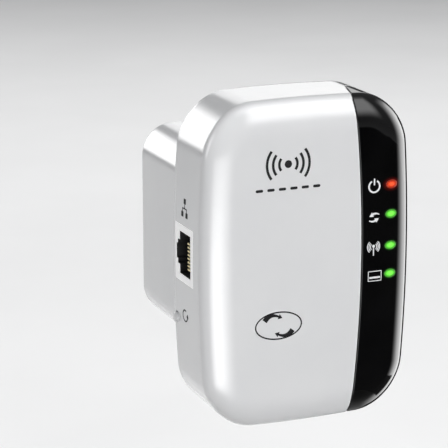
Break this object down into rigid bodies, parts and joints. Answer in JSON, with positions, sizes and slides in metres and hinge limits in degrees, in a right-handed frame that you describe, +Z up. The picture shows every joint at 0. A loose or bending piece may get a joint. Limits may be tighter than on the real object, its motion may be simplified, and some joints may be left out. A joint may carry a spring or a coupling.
{
  "type": "wifi range extender",
  "caption": "Plug-in wireless range extender: rounded body with gloss black indicator strip, side network port, oval front button, reset button and a deep plug block with two flat blades.",
  "frame": {"origin": "centre of the plug block's face that rests against the wall outlet", "axes": "+Y back into the wall outlet, along the blades; +Z up; +X to the right as seen from the front"},
  "size_m": [0.0619, 0.0784, 0.09],
  "materials": {
    "case_white": "high-gloss white moulded ABS",
    "panel_black": "piano-black gloss plastic",
    "lamp_red": "clear light pipe, lit red",
    "lamp_green": "clear light pipe, lit green",
    "led_package": "LED package",
    "jack_plastic": "off-white moulded connector plastic",
    "contact_gold": "gold-plated spring wire",
    "blade_brass": "bright plated brass",
    "board_green": "glass-epoxy board with green solder mask",
    "chip_black": "moulded epoxy package",
    "switch_black": "moulded switch body",
    "screw_steel": "zinc-plated steel",
    "antenna_metal": "stamped brass strip",
    "ferrite": "sintered ferrite",
    "coil_tape": "winding under yellow tape",
    "capacitor_sleeve": "heat-shrunk sleeve",
    "fuse_glass": "ceramic fuse tube",
    "wire_red": "PVC-insulated wire",
    "wire_blue": "PVC-insulated wire",
    "label_paper": "blank satin sticker"
  },
  "bodies": {
    "housing": {"antenna_left": "antenna_metal", "antenna_right": "antenna_metal", "blade_holder": "case_white", "blade_left": "blade_brass", "blade_right": "blade_brass", "board_screw_1": "screw_steel", "board_screw_2": "screw_steel", "bridge_rectifier": "chip_black", "cover_screw_1": "screw_steel", "cover_screw_2": "screw_steel", "cover_screw_3": "screw_steel", "cover_screw_4": "screw_steel", "dc_lead_negative": "wire_blue", "dc_lead_positive": "wire_red", "dc_socket": "jack_plastic", "flash_chip": "chip_black", "front_cover": "case_white", "fuse": "fuse_glass", "indicator_panel": "panel_black", "input_capacitor": "capacitor_sleeve", "jack_housing": "jack_plastic", "lan_transformer": "chip_black", "led_network": "led_package", "led_power": "led_package", "led_sync": "led_package", "led_wireless": "led_package", "light_pipe_network": "lamp_green", "light_pipe_power": "lamp_red", "light_pipe_sync": "lamp_green", "light_pipe_wireless": "lamp_green", "live_lead": "wire_blue", "main_board": "board_green", "memory_chip": "chip_black", "neutral_lead": "wire_red", "output_capacitor": "capacitor_sleeve", "plug_housing": "case_white", "power_board": "board_green", "power_board_screw_1": "screw_steel", "power_board_screw_2": "screw_steel", "power_controller": "chip_black", "rating_label": "label_paper", "rear_cover": "case_white", "reset_switch": "switch_black", "transformer_coil": "coil_tape", "transformer_core": "ferrite", "wifi_chip": "chip_black", "wps_switch": "switch_black"},
    "wps_button": {"wps_button": "case_white"},
    "wps_plunger": {"wps_switch_plunger": "switch_black"},
    "reset_button": {"reset_button": "case_white"},
    "reset_plunger": {"reset_switch_plunger": "switch_black"},
    "jack_contacts": {"jack_contact_1": "contact_gold", "jack_contact_2": "contact_gold", "jack_contact_3": "contact_gold", "jack_contact_4": "contact_gold", "jack_contact_5": "contact_gold", "jack_contact_6": "contact_gold", "jack_contact_7": "contact_gold", "jack_contact_8": "contact_gold"}
  },
  "joints": [
    {"name": "wps_button_press", "type": "slide", "parent": "housing", "child": "wps_button", "axis": [0, 1, 0], "range_m": [0, 0.0005], "stiffness_N_per_m": 800, "springref_m": -0.0004},
    {"name": "wps_plunger_press", "type": "slide", "parent": "housing", "child": "wps_plunger", "axis": [0, 1, 0], "range_m": [0, 0.0005]},
    {"name": "reset_button_press", "type": "slide", "parent": "housing", "child": "reset_button", "axis": [1, 0, 0], "range_m": [0, 0.0005], "stiffness_N_per_m": 800, "springref_m": -0.0004},
    {"name": "reset_plunger_press", "type": "slide", "parent": "housing", "child": "reset_plunger", "axis": [1, 0, 0], "range_m": [0, 0.0005]},
    {"name": "jack_contacts_flex", "type": "hinge", "parent": "housing", "child": "jack_contacts", "pos_m": [-0.02745, -0.05145, 0.0022], "axis": [0, 0, 1], "range_deg": [-11, 0], "stiffness_Nm_per_rad": 0.05, "springref_deg": 1.15}
  ],
  "couplings": [
    {"joint": "wps_plunger_press", "follows": "wps_button_press", "ratio": 1},
    {"joint": "reset_plunger_press", "follows": "reset_button_press", "ratio": 1}
  ]
}
